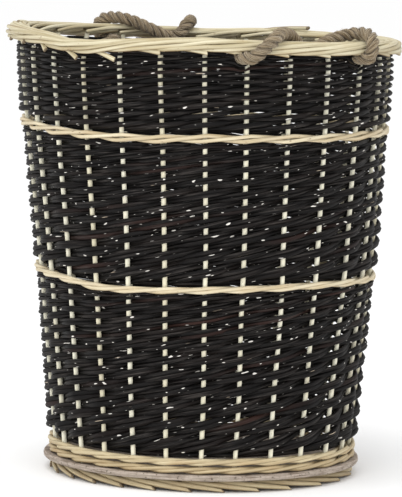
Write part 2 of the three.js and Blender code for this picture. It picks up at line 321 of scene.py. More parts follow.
class Bundle:
    """Rods, strands and other long pieces gathered into one mesh. Each vertex carries "grain", its place
    along and round its rod in metres, "rod", a random number from 0 to 1 that is its rod's own, and
    "cut", which is 1 at a cut end and 0 away from it. On a rope "rod" is 0 but for its loose fibres, and
    "cut" is how deep in the groove between two strands a place is. put moves each rod's points to where
    they lie."""

    def __init__(self, put=settle_rods):
        self.points, self.faces, self.grain, self.rod, self.cut = [], [], [], [], []
        self.count = 0
        self.put = put

    def add(self, line, radii, sides, frames=radial_frames, slant=None):
        """One rod along the line. Where its far end shows its cut, slant is how much further the rod
        reaches on its outer and on its lower side, in radii."""
        radii = np.broadcast_to(radii, len(line))
        if slant:
            face = line[-1] - unit(line[-1] - line[-2]) * CUT_DEPTH
            line, radii = np.vstack([line[:-1], face, line[-1]]), np.append(radii, radii[-1])
        rings = len(line)
        out, across = frames(line)
        turn = round_turn(sides)
        cosine, sine = np.cos(turn), np.sin(turn)
        ring = out[:, None] * cosine[None, :, None] + across[:, None] * sine[None, :, None]
        points = line[:, None] + ring * radii[:, None, None]
        if slant:
            reach = (slant[0] * cosine + slant[1] * sine) * radii[-1]
            points[-2:] += unit(line[-1] - line[-2]) * reach[:, None]
        along = lengths_along(line)
        grain = np.empty((rings, sides, 3))
        grain[:, :, 0] = along[:, None]
        grain[:, :, 1] = cosine * radii[:, None]
        grain[:, :, 2] = sine * radii[:, None]
        cut = np.zeros(rings)
        cut[-1] = 1 if slant else 0
        self.add_faces(rings, sides)
        self.points.append(self.put(points.reshape(-1, 3)))
        self.grain.append(grain.reshape(-1, 3))
        self.rod.append(np.full(rings * sides, RANDOM.random()))
        self.cut.append(np.repeat(cut, sides))

    def add_faces(self, rings, sides):
        """The faces of a closed tube with so many rings, for the points that are added next."""
        index = self.count + np.arange(rings * sides).reshape(rings, sides)
        self.count += rings * sides
        beside = np.roll(index, -1, axis=1)
        quads = np.stack([index[:-1], beside[:-1], beside[1:], index[1:]], axis=-1)
        self.faces += quads.reshape(-1, 4).tolist()
        self.faces.append(index[0, ::-1].tolist())
        self.faces.append(index[-1].tolist())

    def build(self, name, material, nodes, body="root"):
        """One mesh of all that was added, which stands for these CAD nodes and rides this body."""
        mesh = bpy.data.meshes.new(name)
        mesh.from_pydata(np.vstack(self.points).tolist(), [], self.faces)
        mesh.shade_smooth()
        mesh.attributes.new("grain", "FLOAT_VECTOR", "POINT")
        mesh.attributes["grain"].data.foreach_set("vector", np.vstack(self.grain).ravel())
        for key, values in (("rod", self.rod), ("cut", self.cut)):
            mesh.attributes.new(key, "FLOAT", "POINT")
            mesh.attributes[key].data.foreach_set("value", np.concatenate(values))
        mesh.materials.append(material)
        made = bpy.data.objects.new(name, mesh)
        bpy.context.scene.collection.objects.link(made)
        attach(made, body)
        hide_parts(*nodes)
        return made


# ------------------------------------------------------------
# Materials
# ------------------------------------------------------------

# The sockets of a Mix node that mixes colours
COLOUR_A = 6
COLOUR_B = 7
COLOUR_RESULT = 2

ROD_SHIFT = (137.0, 71.0, 211.0)  # how far apart in the noise the patterns of two rods can be


class Nodes:
    """Builds one material's nodes in few words."""

    def __init__(self, name):
        self.material = bpy.data.materials.new(name)
        self.material.use_nodes = True
        self.tree = self.material.node_tree
        self.shader = self.tree.nodes["Principled BSDF"]

    def node(self, kind, inputs=None, **settings):
        """A new node with these settings, and with its inputs joined or set."""
        made = self.tree.nodes.new(kind)
        for key, value in settings.items():
            setattr(made, key, value)
        for key, value in (inputs or {}).items():
            self.join(value, made.inputs[key])
        return made

    def join(self, value, socket):
        if isinstance(value, bpy.types.NodeSocket):
            self.tree.links.new(value, socket)
        else:
            socket.default_value = value

    def attribute(self, name):
        return self.node("ShaderNodeAttribute", attribute_name=name)

    def math(self, operation, a, b):
        return self.node("ShaderNodeMath", {0: a, 1: b}, operation=operation).outputs[0]

    def mix(self, factor, a, b, blend="MIX"):
        made = self.node("ShaderNodeMix", data_type="RGBA", blend_type=blend)
        self.join(factor, made.inputs["Factor"])
        self.join(a, made.inputs[COLOUR_A])
        self.join(b, made.inputs[COLOUR_B])
        return made.outputs[COLOUR_RESULT]

    def ramp(self, factor, stops):
        made = self.node("ShaderNodeValToRGB", {"Fac": factor})
        elements = made.color_ramp.elements
        while len(elements) < len(stops):
            elements.new(0.5)
        for element, (position, colour) in zip(elements, stops, strict=True):
            element.position = position
            element.color = (*colour, 1)
        return made.outputs["Color"]

    def level(self, value, low, high, to_low=0.0, to_high=1.0):
        """What runs from low to high made to run from to_low to to_high."""
        inputs = {"Value": value, "From Min": low, "From Max": high, "To Min": to_low, "To Max": to_high}
        return self.node("ShaderNodeMapRange", inputs).outputs[0]

    def noise(self, vector, scale=1.0, detail=2.0, roughness=0.5):
        inputs = {"Vector": vector, "Scale": scale, "Detail": detail, "Roughness": roughness}
        return self.node("ShaderNodeTexNoise", inputs).outputs["Fac"]

    def grain(self, along, across):
        """Coordinates that run with each rod, each rod in its own part of the pattern."""
        scaled = self.node(
            "ShaderNodeVectorMath",
            {0: self.attribute("grain").outputs["Vector"], 1: (along, across, across)},
            operation="MULTIPLY",
        ).outputs[0]
        apart = self.node(
            "ShaderNodeVectorMath",
            {0: self.attribute("rod").outputs["Vector"], 1: ROD_SHIFT},
            operation="MULTIPLY",
        ).outputs[0]
        return self.node("ShaderNodeVectorMath", {0: scaled, 1: apart}, operation="ADD").outputs[0]

    def bump(self, height, strength, distance):
        inputs = {"Height": height, "Strength": strength, "Distance": distance}
        return self.node("ShaderNodeBump", inputs).outputs["Normal"]


def peeled_willow(name, light, dark, stain, painted_shade):
    """Cream willow rods without bark: fine grain along each rod, warm stains, a few brown flecks, and
    painted shade on their lower sides, for the dark lines between rods that touch."""
    painted_shade_brown = (0.2, 0.12, 0.05, 1)
    fleck_brown = (0.16, 0.085, 0.04, 1)
    cut_wood = (0.16, 0.115, 0.075, 1)
    n = Nodes(name)
    grain = n.noise(n.grain(18.0, 520.0), detail=4.0, roughness=0.6)
    patches = n.noise(n.grain(22.0, 60.0), detail=2.0)
    flecks = n.noise(n.grain(160.0, 420.0), detail=1.0)
    tone = n.attribute("rod").outputs["Fac"]
    section = n.attribute("grain").outputs["Vector"]
    lower_side = n.node("ShaderNodeSeparateXYZ", {"Vector": section}).outputs["Z"]
    colour = n.mix(n.level(grain, 0.3, 0.72), dark, light)
    colour = n.mix(n.level(patches, 0.52, 0.8, to_high=0.6), colour, stain)
    colour = n.mix(n.level(tone, 0.2, 1.0, to_high=0.4), colour, stain, "MULTIPLY")
    # Painted shade: each rod's lower side is darkened towards brown, so that dark lines show between rods
    # that touch.
    colour = n.mix(n.level(lower_side, 1.0 * MM, 2.5 * MM, to_high=painted_shade), colour, painted_shade_brown)
    colour = n.mix(n.level(flecks, 0.71, 0.8, to_high=0.8), colour, fleck_brown)
    cut = n.attribute("cut").outputs["Fac"]
    colour = n.mix(n.level(cut, 0.3, 1.0, to_high=0.85), colour, cut_wood)
    n.join(colour, n.shader.inputs["Base Color"])
    n.join(n.level(grain, 0.2, 0.8, to_low=0.66, to_high=0.5), n.shader.inputs["Roughness"])
    n.join(n.bump(grain, strength=0.35, distance=0.3 * MM), n.shader.inputs["Normal"])
    n.shader.inputs["Specular IOR Level"].default_value = 0.3
    return n.material


def dark_willow():
    """Willow with its bark on, brown to almost black, with wrinkles, redder rods, and pale scars that
    also serve as painted glints.
    """
    shades = [
        (0.3, (0.002, 0.0016, 0.0016)),
        (0.52, (0.0036, 0.0028, 0.0027)),
        (0.72, (0.009, 0.006, 0.005)),
    ]
    redder = (0.035, 0.014, 0.01, 1)
    wrinkle_grey = (0.06, 0.053, 0.048, 1)
    scar_and_glint_white = (0.7, 0.67, 0.62, 1)
    peeled_wood = (0.4, 0.33, 0.25, 1)
    n = Nodes("dark_willow")
    wrinkles = n.noise(n.grain(26.0, 620.0), detail=4.0, roughness=0.7)
    patches = n.noise(n.grain(14.0, 70.0), detail=2.0)
    scars_and_glints = n.noise(n.grain(125.0, 400.0), detail=0.0)
    peeled = n.noise(n.grain(34.0, 420.0), detail=1.0)
    reds = n.noise(n.grain(6.0, 20.0), detail=1.0)
    colour = n.ramp(patches, shades)
    tone = n.attribute("rod").outputs["Fac"]
    redness = n.math("MULTIPLY", n.level(tone, 0.8, 1.0, to_high=0.8), n.level(reds, 0.52, 0.7))
    colour = n.mix(redness, colour, redder)
    colour = n.mix(n.level(wrinkles, 0.52, 0.7, to_high=0.85), colour, wrinkle_grey)
    # Pale scars, which also serve as painted glints where the rods bend at the stakes.
    colour = n.mix(n.level(scars_and_glints, 0.79, 0.815), colour, scar_and_glint_white)
    colour = n.mix(n.level(peeled, 0.79, 0.81), colour, peeled_wood)
    n.join(colour, n.shader.inputs["Base Color"])
    n.join(n.level(wrinkles, 0.3, 0.75, to_low=0.45, to_high=0.75), n.shader.inputs["Roughness"])
    n.join(n.bump(wrinkles, strength=0.9, distance=0.5 * MM), n.shader.inputs["Normal"])
    n.shader.inputs["Specular IOR Level"].default_value = 0.14
    return n.material


def plywood():
    """Weathered grey-brown board: streaks along its edge and its faces, dirt, and dark chips."""
    streak_dark = (0.15, 0.11, 0.08, 1)
    streak_light = (0.5, 0.42, 0.355, 1)
    grain_brown = (0.22, 0.17, 0.13, 1)
    dirt_grey = (0.43, 0.375, 0.31, 1)
    chip_dark = (0.07, 0.05, 0.035, 1)
    n = Nodes("plywood")
    place = n.node("ShaderNodeTexCoord").outputs["Object"]
    layers = n.node("ShaderNodeMapping", {"Vector": place, "Scale": (38.0, 38.0, 900.0)}).outputs[0]
    long = n.node("ShaderNodeMapping", {"Vector": place, "Scale": (260.0, 14.0, 1.0)}).outputs[0]
    streaks = n.noise(layers, detail=3.0, roughness=0.6)
    grain = n.noise(long, detail=4.0, roughness=0.6)
    dirt = n.noise(place, scale=38.0, detail=4.0, roughness=0.65)
    chips = n.noise(place, scale=330.0, detail=2.0)
    colour = n.mix(n.level(streaks, 0.38, 0.6), streak_dark, streak_light)
    colour = n.mix(n.level(grain, 0.3, 0.7, to_low=0.5, to_high=0.0), colour, grain_brown)
    colour = n.mix(n.level(dirt, 0.4, 0.75, to_high=0.6), colour, dirt_grey)
    colour = n.mix(n.level(chips, 0.6, 0.7, to_high=0.85), colour, chip_dark)
    n.join(colour, n.shader.inputs["Base Color"])
    n.join(n.level(grain, 0.2, 0.8, to_low=0.9, to_high=0.7), n.shader.inputs["Roughness"])
    rough = n.math("ADD", streaks, chips)
    n.join(n.bump(rough, strength=0.6, distance=0.4 * MM), n.shader.inputs["Normal"])
    return n.material


def jute():
    """Rope of twisted brown fibres: fine yarns along each strand, pale loose fibres, and painted shade in
    the grooves between its strands.
    """
    yarn_dark = (0.06, 0.038, 0.02, 1)
    yarn_light = (0.42, 0.335, 0.215, 1)
    patch_brown = (0.15, 0.105, 0.065, 1)
    groove_shade = (0.03, 0.018, 0.01, 1)
    fibre_light = (0.62, 0.54, 0.41, 1)
    n = Nodes("jute_rope")
    yarns = n.noise(n.grain(110.0, 1100.0), detail=3.0, roughness=0.65)
    patches = n.noise(n.grain(45.0, 160.0), detail=3.0)
    depth = n.attribute("cut").outputs["Fac"]
    loose = n.attribute("rod").outputs["Fac"]
    colour = n.mix(n.level(yarns, 0.36, 0.66), yarn_dark, yarn_light)
    colour = n.mix(n.level(patches, 0.4, 0.75, to_high=0.6), colour, patch_brown)
    # Painted shade: the deeper a place lies in a groove between strands, the darker it is.
    colour = n.mix(n.level(depth, 0.3, 0.95, to_high=0.85), colour, groove_shade)
    colour = n.mix(n.level(loose, 0.2, 1.0, to_high=0.75), colour, fibre_light)
    n.join(colour, n.shader.inputs["Base Color"])
    n.shader.inputs["Roughness"].default_value = 0.92
    n.shader.inputs["Sheen Weight"].default_value = 0.2
    n.shader.inputs["Specular IOR Level"].default_value = 0.15
    n.join(n.bump(yarns, strength=0.9, distance=0.8 * MM), n.shader.inputs["Normal"])
    return n.material


def stage_white():
    """The plain white floor."""
    n = Nodes("stage_white")
    n.shader.inputs["Base Color"].default_value = (0.97, 0.97, 0.97, 1)
    n.shader.inputs["Roughness"].default_value = 1.0
    n.shader.inputs["Specular IOR Level"].default_value = 0.0
    return n.material


# ------------------------------------------------------------
# Rope handles
# ------------------------------------------------------------

# The routes' points: the angle from the front in degrees, then the distance from the axis and the height
# in millimetres.
# Each rope starts with a tail inside, goes out through the weave under the border, turns up and over the
# border, hangs inside as the grip, and goes back the same way.
FRONT_HANDLE = {
    "first_end": [
        (-4, 190.5, 471),
        (0.6, 189.5, 473),
        (5.4, 187, 477),
        (9.2, 190.4, 480.8),
        (10.7, 198.5, 481.5),
        (10.7, 206, 481.5),
        (10.7, 213.5, 481.5),
        (11.2, 222, 480.9),
        (13, 229.2, 482),
        (15, 232.2, 488),
        (17, 231.6, 495.2),
        (19.2, 228, 502),
        (21.4, 219.5, 507.2),
        (23.8, 209.5, 508),
        (26.2, 201.5, 507.4),
        (28.4, 195.6, 505.2),
    ],
    "grip": [
        (30.6, 191.4, 501),
        (32.5, 189.2, 495),
        (34.3, 188.2, 490.3),
        (36.8, 187.8, 488.4),
        (39.6, 187.8, 491),
        (42.8, 188.3, 496),
        (47, 189.6, 501),
        (51, 192.6, 504.4),
    ],
    "second_end": [
        (54, 196.2, 506.2),
        (55.6, 201.5, 507.8),
        (56, 208.5, 508.3),
        (55.4, 216.5, 507.7),
        (54.3, 224.4, 504.6),
        (53.2, 230.3, 499.4),
        (52.5, 232.2, 493.4),
        (52.2, 231, 487.6),
        (52.1, 226.6, 483.2),
        (52.1, 220.5, 481.3),
        (52.2, 213.5, 481.4),
        (52.2, 206, 481.5),
        (52.2, 198.5, 481.2),
        (53.6, 190.4, 479.4),
        (57.2, 187, 475.8),
        (62, 189.5, 472.4),
        (67, 190.5, 470.6),
    ],
}
REAR_HANDLE = {
    "first_end": [
        (227, 190.5, 471),
        (222, 189.5, 473),
        (217.4, 187, 477),
        (213.9, 190.4, 480.8),
        (212.6, 198.5, 481.5),
        (212.6, 206, 481.5),
        (212.6, 213.8, 481.4),
        (212.7, 220.5, 481.4),
        (212.8, 226.6, 483.4),
        (213, 231, 488.4),
        (213.2, 232.2, 494.4),
        (213.1, 230, 500.3),
        (212.5, 224.7, 505),
        (211.5, 217, 507.6),
        (210.2, 209, 508),
        (208.8, 202.2, 507.6),
        (207.4, 196.6, 506),
    ],
    "grip": [
        (205.4, 193.6, 503.9),
        (203.2, 191.2, 501),
        (200.8, 189.4, 497.7),
        (198.2, 188.3, 494.4),
        (195.6, 187.8, 491.4),
        (193.2, 187.8, 489.5),
        (191, 187.9, 489.4),
        (189.2, 188.6, 492.4),
        (188, 190, 497.6),
        (186.9, 192.6, 502.4),
    ],
    "second_end": [
        (186, 196.2, 505.6),
        (185.3, 201, 507.6),
        (184.9, 207.5, 508.2),
        (184.8, 215.5, 507.8),
        (185, 223.8, 505.2),
        (185.5, 229.8, 499.4),
        (186, 232.2, 493.4),
        (186.5, 231, 487.6),
        (186.9, 226.6, 483.2),
        (187.1, 220.5, 481.3),
        (187.2, 213.5, 481.4),
        (187.2, 206, 481.5),
        (187.2, 198.5, 481.2),
        (185.8, 190.4, 479.4),
        (182.3, 187, 475.8),
        (177.5, 189.5, 472.4),
        (172.5, 190.5, 470.6),
    ],
}
ROPE_STEPS = 8  # rings from each point of a route to the next
ROPE_SIDES = 54
ROPE_STRANDS = 3
ROPE_FULLNESS = 1.03  # the strands swell a little where nothing presses on them
GROOVE_DEPTH = 0.62  # 1 would be the grooves between strands that are perfectly round
YARNS = 9  # ridges round the rope, made by the yarns that its strands are twisted from
YARN_HEIGHT = 0.2 * MM
YARN_LAY = 17 * MM
FIBRES_PER_METRE = 2200
FIBRE_RINGS = (5, 16)  # a fibre spans at least 5 of the rope's rings, and fewer than 16
FIBRE_TWIST = 0.5  # radians, by which a fibre's ends turn away from its strand, at most
FIBRE_RADIUS = 0.13 * MM
FIBRE_LIFT = 1.6 * MM  # how far the loose end of a fibre stands off the rope, at most
ROUND_END_RINGS = 6  # a piece of rope ends in half a ball where the grip turns, so no gap opens there
ROUND_END_SIZE = 0.97  # of the rope's thickness, so that the half ball hides in the rope at rest
ROUND_END_REACH = 0.99  # of its radius, where the half ball ends in a last small ring


def rope_outline(turn):
    """A laid rope's section, three strands that touch: the share of its radius at each angle round it."""
    strand = 1 / (1 + 2 / math.sqrt(3))
    centre = 1 - strand
    between = math.pi / ROPE_STRANDS
    from_strand = (turn + between) % (2 * between) - between
    sideways = centre * np.sin(from_strand)
    reach = centre * np.cos(from_strand) + np.sqrt(strand**2 - sideways**2)
    return 1 - GROOVE_DEPTH * (1 - reach)


class Rope:
    """The whole line of a handle's rope, with its surface as a function of the ring and the angle. Rings
    are counted from the start of the rope."""

    def __init__(self, places):
        degrees, radii, heights = np.array(places).T
        self.line = centripetal(around(degrees, radii * MM, heights * MM), ROPE_STEPS)
        self.along = lengths_along(self.line)
        self.out, self.across = carried_frames(self.line)

    def surface(self, rings, turn, lift, thickness=1.0):
        """Points on the rope, at angles that turn with its lay and lifted so far off its surface. A
        thickness below 1 makes the rope thinner there."""
        twisted = turn + self.along[rings] * 2 * math.pi / ROPE_LAY
        ripple = YARN_HEIGHT * np.cos(YARNS * turn - self.along[rings] * 2 * math.pi / YARN_LAY)
        reach = (ROPE_FULLNESS * rope_outline(turn) * ROPE_DIAMETER / 2 + ripple + lift) * thickness
        outwards = self.out[rings] * np.cos(twisted)[..., None]
        sideways = self.across[rings] * np.sin(twisted)[..., None]
        return self.line[rings] + (outwards + sideways) * reach[..., None]

    def rings_with_ball(self, start, end):
        """The rings of a piece from start to end, and how thick it is at each. Where an end is a pivot
        and not the rope's own end, the piece goes on past it, rounded off like half a ball."""
        first = start - ROUND_END_RINGS if start > 0 else start
        last = end + ROUND_END_RINGS if end < len(self.line) - 1 else end
        rings = np.arange(first, last + 1)
        before = (self.along[start] - self.along[rings]) / (self.along[start] - self.along[first] + TINY)
        after = (self.along[rings] - self.along[end]) / (self.along[last] - self.along[end] + TINY)
        past = np.clip(np.maximum(before, after), 0, ROUND_END_REACH)
        return rings, np.where(past > 0, ROUND_END_SIZE * np.sqrt(1 - past**2), 1.0)

    def piece(self, name, start, end, material, nodes, body):
        """The mesh from one ring to another, with its loose fibres."""
        rings, thickness = self.rings_with_ball(start, end)
        turn = round_turn(ROPE_SIDES)
        bundle = Bundle(settle)
        bundle.add_faces(len(rings), ROPE_SIDES)
        ring_grid, turn_grid = np.meshgrid(rings, turn, indexing="ij")
        points = self.surface(ring_grid, turn_grid, lift=0.0, thickness=thickness[:, None])
        bundle.points.append(settle(points.reshape(-1, 3)))
        round_it = [wave(turn_grid) * ROPE_DIAMETER / 2 for wave in (np.cos, np.sin)]
        grain = np.stack([self.along[ring_grid], *round_it])
        bundle.grain.append(grain.reshape(3, -1).T)
        # How deep in a groove between strands each place lies, which the rope's material darkens as
        # painted shade.
        outline = rope_outline(turn)
        groove = (outline.max() - outline) / (outline.max() - outline.min())
        bundle.cut.append(np.tile(groove, len(rings)))
        bundle.rod.append(np.zeros(ring_grid.size))
        for _ in range(int(FIBRES_PER_METRE * (self.along[end] - self.along[start]))):
            self.add_fibre(bundle, start, end)
        return bundle.build(name, material, nodes, body)

    def add_fibre(self, bundle, start, end):
        """A loose fibre that lies along a strand, with one end standing off a little."""
        length = RANDOM.integers(*FIBRE_RINGS)
        first = RANDOM.integers(start, max(start + 1, end - length))
        rings = np.arange(first, min(first + length, end) + 1)
        share = np.linspace(-1, 1, len(rings))
        turn = RANDOM.uniform(0, 2 * math.pi) + RANDOM.uniform(-FIBRE_TWIST, FIBRE_TWIST) * share
        lift = FIBRE_RADIUS / 2 + RANDOM.uniform(0, FIBRE_LIFT) * np.clip(share, 0, 1) ** 2
        bundle.add(self.surface(rings, turn, lift), FIBRE_RADIUS, sides=4, frames=carried_frames)


def rope_handle(side, route, material):
    """A handle is one rope in three meshes: its two ends stay with the basket, and the grip between its
    two pivots swings."""
    rope = Rope(route["first_end"] + route["grip"] + route["second_end"])
    first = (len(route["first_end"]) - 1) * ROPE_STEPS
    second = (len(route["first_end"]) + len(route["grip"])) * ROPE_STEPS
    last = len(rope.line) - 1
    name = f"{side}_handle_rope"
    left = rope.piece(f"{name}_left", 0, first, material, [f"{side}_handle_left_end"], "root")
    grip = rope.piece(f"{name}_grip", first, second, material, [f"{side}_handle_grip"], f"{side}_handle")
    right = rope.piece(f"{name}_right", second, last, material, [f"{side}_handle_right_end"], "root")
    path = settle(rope.line[rope.rings_with_ball(first, second)[0]])


# ------------------------------------------------------------
# Stakes
# ------------------------------------------------------------

STAKE_RINGS = 80
STAKE_START = BOARD_BOTTOM + 0.5 * MM
STAKE_END = BORDER_BOTTOM + 3 * MM


def stakes(material):
    """The 26 upright stakes, each a mesh of its own, a little crooked and uneven."""
    height = np.linspace(STAKE_START, STAKE_END, STAKE_RINGS)
    for number, name in enumerate(STAKE_NAMES):
        sideways = wander(height, step=0.09, size=0.9 * MM) / stake_radius_at(height)
        outwards = wander(height, step=0.07, size=0.25 * MM)
        degrees = angle_at(number) + np.degrees(sideways)
        line = around(degrees, stake_radius_at(height) + outwards, height)
        bundle = Bundle()
        bundle.add(line, STAKE_THICKNESS / 2 * (1 + wander(height, step=0.03, size=0.05)), sides=14)
        bundle.build(name + "_rod", material, [name])


# ------------------------------------------------------------
# Weave
# ------------------------------------------------------------

BUTT_REACH = 0.95  # spaces, from a dark rod's butt end to the stake where it starts
TIP_SHORTFALL = 0.3  # spaces, from its tip to the next stake
WALE_STROKE = 3  # spaces that a wale rod passes in one stroke
WALE_STROKES = [9, 9, 8]  # in a row's three rods, which together lie three times round the basket
WALE_OVERLAP = 0.3  # spaces, by which a wale rod is longer than its strokes at each end


def weave(name, node, rods, material):
    """Randing or slewing in which every stake starts a rod, or a pair of them. A rod passes behind the
    stake it starts at, in front of the next, and so on, and climbs a level at each. The levels get
    lower as the rods get thinner."""
    low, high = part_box(node)
    count = rods["levels"]
    thickness = np.linspace(rods["butt"], rods["tip"], count + 1)
    pitches = thickness[:-1] * (high.z - low.z) / thickness[:-1].sum()
    level_heights = low.z + np.concatenate([[0], np.cumsum(pitches)]) + np.append(pitches, pitches[-1]) / 2
    squeeze = (high.z - low.z) / (thickness[:-1].sum() * rods["in_stroke"])
    place = np.arange(-BUTT_REACH, count - TIP_SHORTFALL, 1 / STEPS_PER_SPACE)
    climb = np.interp(place, np.arange(count + 1), level_heights)
    climb = np.minimum(climb, high.z - rods["tip"] / 2)
    # The side of the stakes that the rod is on, from -1 inside them to 1 outside
    straight = 1 - 2 * np.abs(place % 2 - 1)
    side = np.where(place < 0, -1, STRAIGHTNESS * straight - (1 - STRAIGHTNESS) * np.cos(math.pi * place))
    bundle = Bundle()
    for start in range(STAKE_COUNT):
        for number in range(rods["in_stroke"]):
            own = RANDOM.normal(1, WEAVE_SPREAD)
            diameter = np.interp(place, np.arange(count + 1), thickness) * own
            above = (number - (rods["in_stroke"] - 1) / 2) * diameter * squeeze
            height = climb + above + wander(place, step=1.3, size=0.7 * MM)
            offset = (STAKE_RADIUS + diameter / 2) * side + wander(place, step=1.7, size=0.5 * MM)
            line = around(angle_at(start + place), stake_radius_at(climb) + offset, height)
            bundle.add(line, diameter / 2, sides=8)
    bundle.build(name, material, [node])


def waling(name, node, rows, material):
    """Rows of three-rod waling: each rod passes in front of two stakes, rising, and behind one."""
    low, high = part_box(node)
    row_height = (high.z - low.z) / rows
    rise = row_height - WALE_ROD
    bundle = Bundle()
    for row in range(rows):
        middle = low.z + row_height * (row + 0.5)
        start = row
        for strokes in WALE_STROKES:
            length = WALE_STROKE * strokes
            place = np.arange(-WALE_OVERLAP, length + WALE_OVERLAP, 1 / STEPS_PER_SPACE)
            phase = place % WALE_STROKE
            # Half a wave out, level in front of two stakes, and half a wave back in
            side = -np.cos(math.pi * np.interp(phase, [0, 1, 2, 3], [0, 1, 1, 2]))
            share = np.interp(phase, [0, 0.9, 2.1, 3], [0, -1, 1, 0])
            own = WALE_ROD * RANDOM.normal(1, WALE_SPREAD)
            height = middle + share * rise / 2 + wander(place, step=2.1, size=0.3 * MM)
            offset = (STAKE_RADIUS + own / 2) * side + wander(place, step=1.9, size=0.3 * MM)
            line = around(angle_at(start + place), stake_radius_at(middle) + offset, height)
            bundle.add(line, own / 2, sides=10)
            start += length
    bundle.build(name, material, [node])


# ------------------------------------------------------------
# Rim border
# ------------------------------------------------------------

BORDER_RINGS = 90
BORDER_TAPER = [(0, 1.06), (0.6, 1), (1, 0.75)]  # a rod's thickness at these shares of its length

# A border rod's way round the border's section: a place along it, how far out and how far up it is
# there, as shares of the half width and the half height
BORDER_WAY = [
    (-0.95, -0.3, 0.2),
    (-0.5, 0.2, -0.5),
    (0.0, 0.8, -1.0),
    (0.5, 1.0, -0.85),
    (2.3, 1.0, 0.75),
    (3.0, 0.72, 1.0),
    (4.2, 0.2, 1.06),
    (5.6, -0.5, 1.0),
    (6.5, -0.95, 0.5),
    (7.2, -1.0, -0.5),
]

# The rods cut off under the border's outer edge. For the stakes at these numbers from the front: how
# long the stub is, in spaces, and how far its end hangs below the border. The others show only a little.
LONG_STUBS = {-4: (0.3, 2.5 * MM), -3: (0.42, 5.5 * MM), -2: (0.6, 7.5 * MM)}
STUB_LENGTH = 0.5  # spaces, of the other stubs
STUB_HANG = 1 * MM  # of their ends, below or above the border's underside, at most
STUB_SHORTFALL = 0.25  # on the right, where the stubs end a little before their stakes
STUB_PAST = 0.05  # spaces, by which they end past their stakes elsewhere
STUB_RADIUS = 2.4 * MM
STUB_RINGS = 8
STUB_PLACE = BORDER_MIDDLE + 6 * MM  # where a stub starts, as a distance from the axis
STUB_SLANT = 4 * MM  # how much further out it ends
STUB_DEPTH = 3.5 * MM  # how far above the border's underside it starts
STUB_CURVE = 1.2  # 1 would be a straight way down

# Loose rod ends that stick out of the border, as routes like those of the ropes: four at its left end,
# and one that lies on its far side
LOOSE_ENDS = [
    [(-62, 214, 497), (-74, 219, 497.5), (-85, 222.5, 496)],
    [(-66, 219, 492), (-78, 221, 491.5), (-88, 223.5, 489.5)],
    [(-70, 219, 487.5), (-81, 219, 486.5), (-90, 221, 484.5)],
    [(-110, 210, 496), (-99, 209, 499.5), (-88, 212, 500)],
    [(160, 207, 498), (152, 205, 501.5), (143.5, 203, 503.5)],
]


def border_line(start):
    """One border rod: it comes out from under the others, climbs the border's outer face slantwise,
    crosses its top and goes down inside."""
    half_width = (BORDER_WIDTH - BORDER_ROD) / 2
    half_height = (BORDER_TOP - BORDER_BOTTOM - BORDER_ROD) / 2
    keys, out, up = np.array(BORDER_WAY).T
    place = np.linspace(keys[0], keys[-1], BORDER_RINGS)
    outside = BORDER_MIDDLE + half_width * np.interp(place, keys, out)
    height = BORDER_LEVEL + half_height * np.interp(place, keys, up)
    line = around(angle_at(start + place), outside, height)
    soft = np.array([1, 2, 3, 2, 1]) / 9  # weights that round off the line's corners
    extra = len(soft) // 2
    longer = np.pad(line, ((extra, extra), (0, 0)), "edge")
    return np.array([soft @ longer[index : index + len(soft)] for index in range(len(line))])


def border(material):
    """The rod border round the rim, with the stubs under its outer edge and its loose ends."""
    bundle = Bundle()
    for start in range(STAKE_COUNT):
        line = border_line(start + RANDOM.normal(0, START_SPREAD))
        along = lengths_along(line)
        line[:, 2] += wander(along, step=0.06, size=0.8 * MM)
        line[:, :2] *= 1 + wander(along, step=0.07, size=0.004)[:, None]
        own = BORDER_ROD / 2 * RANDOM.normal(1, BORDER_SPREAD)
        radius = own * (1 + wander(along, step=0.04, size=0.05))
        bundle.add(line, radius * read_off(BORDER_TAPER, along / along[-1]), sides=10)
        spaces = start - STAKE_COUNT if start > STAKE_COUNT / 2 else start
        length, hang = LONG_STUBS.get(spaces, (STUB_LENGTH, RANDOM.uniform(-1, 1) * STUB_HANG))
        stub(bundle, start - STUB_SHORTFALL * (spaces > 0), length, hang)
    for route in LOOSE_ENDS:
        degrees, radius, height = np.array(route).T
        line = centripetal(around(degrees, radius * MM, height * MM), steps=8)
        bundle.add(line, STUB_RADIUS, sides=10, slant=(0.6, 0.4))
    bundle.build("rim_border_rods", material, ["rim_border"])


def stub(bundle, stake, length, hang):
    """A cut end that comes down out of the border and ends at this stake."""
    share = np.linspace(0, 1, STUB_RINGS)
    degrees = angle_at(stake + STUB_PAST - length * (1 - share))
    radius = STUB_PLACE + STUB_SLANT * share
    height = BORDER_BOTTOM + STUB_DEPTH - (STUB_DEPTH + hang) * share**STUB_CURVE
    bundle.add(around(degrees, radius, height), STUB_RADIUS, sides=10, slant=(0.3, 0.3))


# ------------------------------------------------------------
# Foot border and board
# ------------------------------------------------------------

FOOT_START = 0.5  # spaces, from a stake to where its bent end starts to show
FOOT_RUN = 2.2  # spaces, over which it runs outwards and down
FOOT_OUTWARDS = 0.8  # below 1, it runs outwards more at first than at last
FOOT_DOWNWARDS = 1.3  # above 1, it goes down more at last than at first
FOOT_RINGS = 26
FOOT_TIP = 0.55  # of its thickness, at its cut end
FOOT_TAPER = [(0, 0.95), (0.5, 1), (1, FOOT_TIP)]  # its thickness at these shares of its length
FOOT_INSIDE = STAKE_FOOT_RADIUS - 5 * MM
FOOT_OUTSIDE = FOOT_RADIUS - FOOT_ROD / 2 - 0.5 * MM
FOOT_HIGH = BOARD_BOTTOM - FOOT_ROD / 2
FOOT_LOW = FOOT_ROD / 2 * FOOT_TIP + 0.75 * MM


